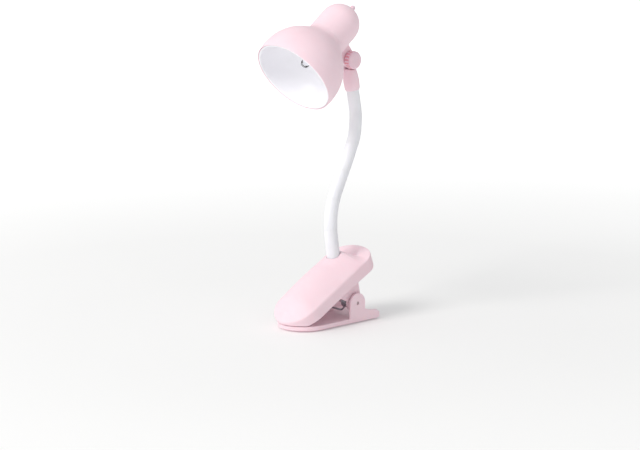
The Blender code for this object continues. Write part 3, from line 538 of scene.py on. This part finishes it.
pin_m = Matrix.Translation((PIN_X, 0, PIN_Z)) @ Matrix.Rotation(PI / 2, 4, "X")
tools = []
for s in (1, -1):
    ya, yb = sorted((s * (BASE_HALF_W - BASE_WALL_T), s * BASE_HALF_W))
    tools.append(("UNION", xz_prism_bm([(BASE_REAR_X + 0.35, 1.15)] + [(max(x, BASE_REAR_X + 0.35), z) for x, z in WALL_PTS] + [(WALL_PTS[-1][0], 1.15)], ya, yb)))
    tools.append(("UNION", xz_prism_bm([(PIN_X - EAR_R, 1.2), (PIN_X + EAR_R, 1.2)] + arc(PIN_X, PIN_Z, EAR_R, 0, 180, 64), ya, yb)))
tools.append(("UNION", prism_bm([(-5.2, -10.6), (-2.2, -10.6), (-2.2, -8.2), (-5.2, -8.2)], 2.0, 4.4)))
tools.append(("DIFFERENCE", lathe_bm([(0, -14.55), (1.57, -14.55), (1.57, 14.55), (0, 14.55)], 48, mtx=pin_m)))
for s in (1, -1):
    a, c = sorted((s * 14.0, s * 17.0))
    tools.append(("DIFFERENCE", lathe_bm([(0, a), (1.0, a), (1.0, c), (0, c)], 48, mtx=pin_m)))
base = out(boolean(plate_bm(), tools, 0.2, 2), "base_shell", 0)
paint(base, PINK)
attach(base, "base")
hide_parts("lower_jaw")

# ------------------------------------------------------------------ jaw pin with drilled ends
pp = [(0, -14.25), (0.45, -14.3), (0.8, -14.45), (1.1, -14.5), (1.35, -14.4), (1.47, -14.2), (1.5, -13.9), (1.5, 13.9), (1.47, 14.2), (1.35, 14.4), (1.1, 14.5), (0.8, 14.45), (0.45, 14.3), (0, 14.25)]
pin = out(lathe_bm(pp, 48, False, pin_m), "pin_rod", 45)
paint(pin, PIN_STEEL)
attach(pin, "base")
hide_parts("pivot_pin")

# ------------------------------------------------------------------ upper jaw
boss = lathe_bm([(0, -9.2), (6.3, -9.2), (6.3, 3.5), (0, 3.5)], 48, mtx=frame_matrix(E0, D0))
under = jaw_solid(False)
under.transform(Matrix.Translation(-SW * 0.6))
boss = boolean(boss, [("INTERSECT", under)])
bore = lathe_bm([(0, -7.6), (HOLE_R, -7.6), (HOLE_R, 1.0), (HOLE_R + 1.2, 9.0), (0, 9.0)], 64, mtx=frame_matrix(E0, D0))
stud = lathe_bm([(0, -11.6), (2.62, -11.6), (2.62, -6.6), (0, -6.6)], 32, mtx=frame_matrix(E0, D0))
tools = [("DIFFERENCE", jaw_solid(True))]
for s in (1, -1):
    ya, yb = sorted((s * UEAR_Y0, s * UEAR_Y1))
    pu = [jaw_pt(17.0, 0, -3.2), jaw_pt(-4.8, 0, -3.2)]
    tools.append(("UNION", xz_prism_bm([(pu[0].x, pu[0].z)] + arc(PIN_X, PIN_Z, UEAR_R, 168, 372, 48) + [(pu[1].x, pu[1].z)], ya, yb)))
    yw, yv = sorted((s * 12.4, s * (JAW_HALF_W - 0.9)))
    tools.append(("UNION", xz_prism_bm([(p.x, p.z) for p in (jaw_pt(17.0, 0, -3.2), jaw_pt(-4.8, 0, -3.2), jaw_pt(-4.8, 0, -5.2), jaw_pt(17.0, 0, -5.2))], yw, yv)))
tools += [("UNION", boss), ("DIFFERENCE", bore), ("DIFFERENCE", stud),
          ("DIFFERENCE", lathe_bm([(0, -20), (1.57, -20), (1.57, 20), (0, 20)], 48, mtx=pin_m)),
          ("DIFFERENCE", xz_prism_bm([(20, -9), (60, -9), (60, GRIP_Z), (20, GRIP_Z)], -25, 25))]
jaw = out(boolean(jaw_solid(False), tools, 0.22, 2), "jaw_shell", 0)
paint(jaw, PINK)
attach(jaw, "jaw")
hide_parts("upper_jaw")

# ------------------------------------------------------------------ torsion spring
A_START, A_END = math.radians(300), math.radians(30 + 360 * 4)
lead = [Vector((-3.65, -9.9, 5.35)), Vector((-3.1, -6.5, 5.4)), Vector((-2.1, -1.0, 5.6)), Vector((-1.6, 1.6, 5.9)), Vector((-1.35, 3.2, 6.9)),
        Vector((-1.05, 4.4, 8.1))]
coil = []
nt_ = 200
for i in range(nt_ + 1):
    a = A_START + (A_END - A_START) * i / nt_
    coil.append(Vector((PIN_X + COIL_R * math.cos(a), COIL_Y0 + (COIL_Y1 - COIL_Y0) * i / nt_, PIN_Z + COIL_R * math.sin(a))))
ld = Vector((-math.sin(A_END), 0, math.cos(A_END)))
ce = coil[-1]
tail = [ce + ld * 4.0 + Vector((0, -0.4, 0)), ce + ld * 14.0 + Vector((0, -1.6, 0)), ce + ld * 25.4 + Vector((0, -2.6, 0))]
path = spline(lead + [coil[0]], 8)[:-1] + coil + spline([ce] + tail, 8)[1:]
spring = out(tube_bm(path, WIRE_R, 14), "spring_wire", 50)
paint(spring, SPRING_STEEL)
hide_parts("jaw_spring")
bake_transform(spring)

# ------------------------------------------------------------------ gooseneck: one skin, cut at mid segment so that each piece crosses one joint
cuts = [0.3] + [(JOINT_S[i] + JOINT_S[i + 1]) / 2 for i in range(5)] + [TOTAL - 0.2]


def neck_r(s):
    return 3.85 - 0.2 * smooth_step(0, TOTAL, s)


for i in range(6):
    steps = 26
    ss = [cuts[i] + (cuts[i + 1] - cuts[i]) * k / steps for k in range(steps + 1)]
    g = out(tube_bm([on_curve(s) for s in ss], lambda k, ss=ss: neck_r(ss[k]), 48), "sleeve_%d" % (i + 1), 50)
    paint(g, SLEEVE)
    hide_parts("gooseneck_%d" % (i + 1), *(["gooseneck_7"] if i == 5 else []))
    t, c = tangent(JOINT_S[i]), on_curve(JOINT_S[i])
    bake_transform(g)

# ------------------------------------------------------------------ neck socket
neck_dir = (Vector((PIVOT.x, 0, PIVOT.z)) - Vector((FULL[-1].x, 0, FULL[-1].z))).normalized()
SOCK = frame_matrix(CURVE[-1] + D1 * 1.2, neck_dir, (0, 1, 0))
prof = [(0, 1.9), (NECK_R + 0.1, 1.9), (NECK_R + 0.1, -0.2)]
prof += [tuple(p) for p in spline([(3.95, -0.2), (4.3, 0.7), (4.5, 3.2), (4.55, 5.2), (4.3, 8.0), (3.9, 10.4), (3.55, 12.0), (3.2, 12.5)], 6)] + [(0, 12.5)]
sock = lathe_bm(prof, 64, False, SOCK)
zv = (neck_dir - HSIDE * neck_dir.dot(HSIDE)).normalized()
LM = Matrix((HSIDE.cross(zv), zv, HSIDE)).transposed().to_4x4()
LM.translation = PIVOT
slb = prism_bm([(4.3 * math.cos(math.radians(a)), 4.3 * math.sin(math.radians(a))) for a in range(0, 181, 5)] + [(-3.9, -8.0), (3.9, -8.0)], SL_S0, SL_S1)
slb.transform(LM)
cut = lathe_bm([(0, SL_S1), (LUG_R + 0.45, SL_S1), (LUG_R + 0.45, 1.8), (KNOB_R + 0.4, 1.8), (KNOB_R + 0.4, 9.0), (0, 9.0)], 64, mtx=frame_matrix(PIVOT, HSIDE, BDIR))
hole = lathe_bm([(0, -9), (1.62, -9), (1.62, 9), (0, 9)], 32, mtx=frame_matrix(PIVOT, HSIDE, BDIR))
socket = out(boolean(sock, [("UNION", slb), ("DIFFERENCE", cut), ("DIFFERENCE", hole)], 0.16, 4), "socket_shell", 0)
paint(socket, PINK)
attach(socket, "neck_tip")
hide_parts("neck_socket")

# ------------------------------------------------------------------ clamp knob
def knob_bm(n_r=17, per=12):
    n = n_r * per
    bm = bmesh.new()
    lv = [(KNOB_Y0, 0.88, 0.0), (KNOB_Y0 + 0.15, 0.95, 0.2), (KNOB_Y0 + 0.45, 0.99, 0.8), (KNOB_Y0 + 0.8, 1.0, 1.0), (KNOB_Y0 + 1.6, 1.0, 1.0), (KNOB_Y0 + 2.4, 1.0, 1.0),
          (KNOB_Y1 - 1.25, 0.995, 0.95), (KNOB_Y1 - 0.95, 0.985, 0.7), (KNOB_Y1 - 0.65, 0.955, 0.35), (KNOB_Y1 - 0.4, 0.905, 0.1), (KNOB_Y1 - 0.2, 0.84, 0.0),
          (KNOB_Y1 - 0.07, 0.76, 0.0), (KNOB_Y1, 0.66, 0.0), (KNOB_Y1 - 0.02, 0.5, 0.0), (KNOB_Y1 - 0.06, 0.3, 0.0)]
    rings = []
    for z, k, g in lv:
        ring = []
        for i in range(n):
            a = 2 * PI * i / n
            groove = 0.34 * g * (0.5 - 0.5 * math.cos(n_r * a)) ** 1.6
            r = KNOB_R * k - groove
            ring.append(bm.verts.new((r * math.cos(a), r * math.sin(a), z)))
        rings.append(ring)
    top = bm.verts.new((0, 0, KNOB_Y1 - 0.08))
    lo_in = [bm.verts.new((1.55 * math.cos(2 * PI * i / n), 1.55 * math.sin(2 * PI * i / n), KNOB_Y0)) for i in range(n)]
    lo_top = [bm.verts.new((1.55 * math.cos(2 * PI * i / n), 1.55 * math.sin(2 * PI * i / n), KNOB_Y0 + 2.8)) for i in range(n)]
    cen = bm.verts.new((0, 0, KNOB_Y0 + 2.8))
    for a, c in zip(rings[:-1], rings[1:]):
        for i in range(n):
            j = (i + 1) % n
            bm.faces.new((a[i], a[j], c[j], c[i]))
    for i in range(n):
        j = (i + 1) % n
        bm.faces.new((rings[-1][i], rings[-1][j], top))
        bm.faces.new((rings[0][j], rings[0][i], lo_in[i], lo_in[j]))
        bm.faces.new((lo_in[j], lo_in[i], lo_top[i], lo_top[j]))
        bm.faces.new((lo_top[j], lo_top[i], cen))
    bm.transform(KM)
    return bm


knob = out(knob_bm(), "knob_grip", 50)
# the knob's own copy of the shell pink, made darker: painted shade; its rib grooves get more painted shade below
KNOB_PINK_SHADED = moulded("pink_plastic_ribbed_painted_shade", (0.815, 0.600, 0.675), (0.845, 0.640, 0.712), sss=0.25, sss_radius=(1.2, 0.35, 0.4))
nt = KNOB_PINK_SHADED.node_tree


def vmath(op, a, b):
    n = nt.nodes.new("ShaderNodeVectorMath")
    n.operation = op
    for k, q in enumerate((a, b)):
        if q is None:
            continue
        if isinstance(q, bpy.types.NodeSocket):
            nt.links.new(q, n.inputs[k])
        else:
            n.inputs[k].default_value = q
    return n


# painted shade: the rim's grooves are mixed towards deep red, most at their bottoms, fading out near the knob's face
kc = nt.nodes.new("ShaderNodeTexCoord")
rel = vmath("SUBTRACT", kc.outputs["Object"], (PIVOT + SHIFT) * MM)
along = vmath("DOT_PRODUCT", rel.outputs["Vector"], HSIDE)
onax = vmath("SCALE", HSIDE, None)
nt.links.new(along.outputs["Value"], onax.inputs["Scale"])
rad = vmath("LENGTH", vmath("SUBTRACT", rel.outputs["Vector"], onax.outputs["Vector"]).outputs["Vector"], None)
groove_shade_depth = map_range(nt, rad.outputs["Value"], 0.85, 0.0, (KNOB_R - 0.30) * MM, (KNOB_R - 0.02) * MM)
side = map_range(nt, along.outputs["Value"], 1.0, 0.0, (KNOB_Y1 - 1.3) * MM, (KNOB_Y1 - 0.8) * MM)
painted_groove_shade = nt.nodes.new("ShaderNodeMath")
painted_groove_shade.operation = "MULTIPLY"
nt.links.new(groove_shade_depth.outputs["Result"], painted_groove_shade.inputs[0])
nt.links.new(side.outputs["Result"], painted_groove_shade.inputs[1])
kb = nt.nodes["Principled BSDF"]
src = kb.inputs["Base Color"].links[0].from_socket
groove_shade_mix = nt.nodes.new("ShaderNodeMix")
groove_shade_mix.data_type = "RGBA"
nt.links.new(painted_groove_shade.outputs["Value"], groove_shade_mix.inputs["Factor"])
nt.links.new(src, groove_shade_mix.inputs["A"])
groove_shade_mix.inputs["B"].default_value = (0.78, 0.27, 0.33, 1)
nt.links.new(groove_shade_mix.outputs["Result"], kb.inputs["Base Color"])
paint(knob, KNOB_PINK_SHADED)
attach(knob, "knob")
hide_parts("clamp_knob")

# ------------------------------------------------------------------ head: housing with its lug
hp = [(29.6, 11.5), (36.0, 11.5), (43.5, 11.5)]
arc_out = [(43.5 + 11.47 * math.sin(math.radians(a)), 11.47 * math.cos(math.radians(a))) for a in range(4, 82, 3)]
arc_in = [(43.5 + 10.1 * math.sin(math.radians(a)), 10.1 * math.cos(math.radians(a))) for a in range(4, 80, 4)]
prof = [(r, t) for t, r in hp + arc_out + [(54.95, 1.95), (55.0, 1.75)]]
prof += [(r, t) for t, r in reversed([(29.6, 10.15), (43.5, 10.15)] + arc_in + [(53.45, 1.75)])]
house = lathe_bm(prof, 96, True, HM)
lug = [(31.4, 10.7), (42.6, 10.7), (41.2, 13.2)] + [(PIVOT_T + LUG_R * math.cos(math.radians(a)), PIVOT_D + LUG_R * math.sin(math.radians(a))) for a in range(0, 181, 5)] + [(31.2, 13.2)]
lugb = prism_bm(lug, LUG_S0, LUG_S1)
lugb.transform(HL)
hole = lathe_bm([(0, -9), (1.62, -9), (1.62, 9), (0, 9)], 32, mtx=frame_matrix(PIVOT, HSIDE, BDIR))
dome = boolean(house, [("UNION", lugb), ("DIFFERENCE", hole)], 0.2, 3)
trim = lathe_bm([(0, 25.0), (16.0, 25.0), (16.0, 30.44), (0, 30.44)], 96, False, HM)
housing = out(boolean(dome, [("DIFFERENCE", trim)]), "head_dome", 40)
paint(housing, PINK)
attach(housing, "head")
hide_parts("head_housing")

# ------------------------------------------------------------------ bell shade
SH_OUT = [(0.0, 23.95), (2.5, 24.26), (6.0, 24.22), (10.4, 23.6), (14.0, 22.5), (17.5, 20.9), (20.5, 18.9), (23.0, 16.7), (25.5, 14.3), (27.5, 12.6), (29.2, 11.75), (30.2, 11.5)]
SH_IN = [(0.0, 23.3), (2.5, 23.3), (6.0, 23.2), (10.0, 22.5), (13.4, 21.4), (16.6, 19.8), (19.5, 17.8), (22.0, 15.5), (24.4, 13.1), (26.6, 11.0), (28.6, 9.6), (30.6, 8.85), (35.5, 8.85)]
po = [tuple(p) for p in spline(SH_OUT, 6)]
po = [(-0.82, 23.5), (-0.88, 23.6), (-0.88, 23.74), (-0.78, 23.86), (-0.5, 23.93)] + [(max(t, 0.12), r) for t, r in po if t < 30.1] + [(30.4, 11.5), (30.41, 11.4), (30.41, 9.85), (35.5, 9.85)]
pi_ = [tuple(p) for p in spline(SH_IN, 5)]
shade = out(lathe_bm([(r, t) for t, r in po] + [(r, t) for t, r in reversed(pi_)], 160, True, HM), "shade_bell", 40)
paint(shade, PINK)
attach(shade, "head")
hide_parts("shade")

# ------------------------------------------------------------------ reflector with its rolled lip
RF_IN = [(-0.35, 22.25), (0.6, 22.2), (2.5, 22.15), (6.0, 21.8), (9.4, 20.8), (12.2, 19.3), (14.8, 17.1), (16.8, 14.5), (18.0, 11.4), (18.5, 8.0), (18.6, 4.2)]
RF_OUT = [(0.2, 23.0), (2.5, 23.0), (6.0, 22.8), (9.8, 21.8), (13.0, 20.4), (15.8, 18.4), (18.2, 15.6), (19.6, 12.0), (20.0, 9.8)]
lip = [(-0.28, 23.24), (-0.5, 23.22), (-0.68, 23.12), (-0.76, 22.96), (-0.78, 22.8), (-0.74, 22.6), (-0.62, 22.4)]
pr = [(r, t) for t, r in [(-0.28, 23.05)] + lip + [tuple(p) for p in spline(RF_IN, 6)] + [(18.6, 3.1), (18.75, 2.8), (19.6, 2.75), (19.6, 8.0)]]
pr += [(r, t) for t, r in reversed([tuple(p) for p in spline(RF_OUT, 5)])]
refl = out(lathe_bm(pr, 160, True, HM), "reflector_bowl", 40)
paint(refl, WHITE)
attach(refl, "head")
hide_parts("reflector")

# ------------------------------------------------------------------ light source: clear lens round its lead frame
lp = [(0, 21.6), (2.9, 21.6), (2.9, 20.6), (2.5, 20.5), (2.5, 11.1)] + [(2.5 * math.cos(math.radians(a)), 11.0 - 2.5 * math.sin(math.radians(a))) for a in range(6, 90, 6)] + [(0, 8.5)]
lens = out(lathe_bm(lp, 64, False, HM), "led_lens", 45)
paint(lens, LENS)
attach(lens, "head")
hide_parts("led")


def head_block(outline, s0, s1, name, mat):
    bm = prism_bm(outline, s0, s1)
    bm.transform(HL)
    o = out(bm, name, 30)
    bv = o.modifiers.new("edge", "BEVEL")
    bv.width, bv.segments, bv.limit_method = 0.00006, 2, "ANGLE"
    paint(o, mat)
    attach(o, "head")
    return o


head_block([(21.3, -1.5), (21.3, -0.3), (16.4, -0.35), (15.2, 0.65), (14.7, 0.55), (14.7, -1.35), (15.3, -1.5)], -0.3, 0.3, "led_anvil", STEEL)
head_block([(21.3, 0.5), (21.3, 1.2), (15.4, 1.35), (15.2, 0.95), (16.9, 0.5)], -0.25, 0.25, "led_post", STEEL)
cup = out(lathe_bm([(0.15, 15.0), (0.55, 14.25), (0.75, 14.2), (0.75, 14.9), (0.4, 15.3), (0.15, 15.3)], 32, True, HM @ Matrix.Translation((0, 0.45, 0))), "led_cup", 40)
paint(cup, STEEL)
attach(cup, "head")

# ------------------------------------------------------------------ switch button
bp = [(0, 53.0), (1.45, 53.0), (1.45, 57.3)] + [(0.15 + 1.3 * math.cos(math.radians(a)), 57.32 + 1.38 * math.sin(math.radians(a))) for a in range(6, 91, 6)] + [(0, 58.71)]
btn = out(lathe_bm(bp, 48, False, HM), "button_cap", 45)
paint(btn, PINK_DEEP)
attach(btn, "button")
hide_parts("switch_button")

# ------------------------------------------------------------------ pieces kept from the CAD get finished materials
for name, mat in {"neck_ferrule": STEEL, "neck_washer": STEEL, "neck_nut": STEEL, "clamp_screw": STEEL, "clamp_nut": STEEL,
                  "cell_1": CELL, "cell_2": CELL, "cell_3": CELL, "contact_spring": STEEL, "cell_carrier": WHITE, "led_board": BOARD,
                  "contact_plate": BRASS, "switch_body": DARK, "switch_plunger": RUBBER}.items():
    ob = N[name]
    if not ob.data.materials:
        ob.data.materials.append(mat)
    for k in range(len(ob.material_slots)):
        ob.material_slots[k].material = mat

# ------------------------------------------------------------------ floor and studio light
bm = bmesh.new()
rows = [[bm.verts.new((0, 0, 0))]]
for d in (0.15, 0.3, 0.5, 0.8, 1.2, 2.0, 4.0, 8.0, 16.0, 30.0):
    rows.append([bm.verts.new((d * math.cos(2 * PI * i / 96), d * math.sin(2 * PI * i / 96), 0)) for i in range(96)])
for a, c in zip(rows[:-1], rows[1:]):
    for i in range(96):
        j = (i + 1) % 96
        if len(a) == 1:
            bm.faces.new((a[0], c[i], c[j]))
        else:
            bm.faces.new((a[i], c[i], c[j], a[j]))
me = bpy.data.meshes.new("floor")
bm.to_mesh(me)
bm.free()
floor = bpy.data.objects.new("floor", me)
COL.objects.link(floor)
me.shade_smooth()
fm, nt, b = new_mat("floor_paper_painted_glow")
fn = noise_node(nt, 3.0, 3.0)
fr = ramp(nt, fn.outputs["Fac"], (0.815, 0.815, 0.815), (0.830, 0.830, 0.830))
nt.links.new(fr.outputs["Color"], b.inputs["Base Color"])
b.inputs["Roughness"].default_value = 0.7
tc = nt.nodes.new("ShaderNodeTexCoord")
dp = nt.nodes.new("ShaderNodeVectorMath")
dp.operation = "DISTANCE"
dp.inputs[1].default_value = (0.0, 0.0, 0.0)
nt.links.new(tc.outputs["Object"], dp.inputs[0])
mr = nt.nodes.new("ShaderNodeMapRange")
mr.inputs["From Min"].default_value, mr.inputs["From Max"].default_value = 0.0, 1.4
nt.links.new(dp.outputs["Value"], mr.inputs["Value"])
er = nt.nodes.new("ShaderNodeValToRGB")
els = er.color_ramp.elements
# painted light: the floor itself glows, more strongly away from the lamp and the same in every direction, so the sheet
# fades to white away from the lamp
GLOW = ((0.0, 0.12), (0.10, 0.12), (0.20, 0.15), (0.353, 0.26), (0.551, 0.39), (0.80, 0.50), (1.0, 0.56))
els[0].position, els[0].color = GLOW[0][0], (GLOW[0][1],) * 3 + (1,)
els[1].position, els[1].color = GLOW[-1][0], (GLOW[-1][1],) * 3 + (1,)
for q, g in GLOW[1:-1]:
    e = els.new(q)
    e.color = (g, g, g, 1)
nt.links.new(mr.outputs["Result"], er.inputs["Fac"])
nt.links.new(er.outputs["Color"], b.inputs["Emission Color"])
b.inputs["Emission Strength"].default_value = 1.0
paint(floor, fm)

ROOM = 0.60
w = bpy.data.worlds.new("studio")
bpy.context.scene.world = w
w.use_nodes = True
# soft room light, a little stronger from the key side and from above
wn = w.node_tree
wt = wn.nodes.new("ShaderNodeTexCoord")
wd = wn.nodes.new("ShaderNodeVectorMath")
wd.operation = "DOT_PRODUCT"
wd.inputs[1].default_value = (right * -0.7 + Vector((0, 0, 0.72))).normalized()
wn.links.new(wt.outputs["Generated"], wd.inputs[0])
wm = wn.nodes.new("ShaderNodeMapRange")
wm.inputs["From Min"].default_value, wm.inputs["From Max"].default_value = -1.0, 1.0
wm.inputs["To Min"].default_value, wm.inputs["To Max"].default_value = ROOM - 0.17, ROOM + 0.17
wn.links.new(wd.outputs["Value"], wm.inputs["Value"])
wn.nodes["Background"].inputs[0].default_value = (0.985, 0.995, 1.0, 1)
wn.links.new(wm.outputs["Result"], wn.nodes["Background"].inputs[1])


def area(name, pos, target, size, power, colour=(1, 1, 1)):
    l = bpy.data.lights.new(name, "AREA")
    l.shape, l.size, l.energy, l.color = "DISK", size, power, colour
    o = bpy.data.objects.new(name, l)
    COL.objects.link(o)
    p, t = Vector(pos), Vector(target)
    o.matrix_world = Matrix.Translation(p) @ (t - p).to_track_quat("-Z", "Y").to_matrix().to_4x4()
    return o


c0 = Vector((0, 0, 0.09))
area("key", c0 - right * 1.62 - away * 1.42 + Vector((0, 0, 1.62)), c0, 1.35, 38.5, (1.0, 0.980, 0.950))
bpy.context.scene.view_settings.view_transform = "Standard"
bpy.context.scene.view_settings.look = "None"
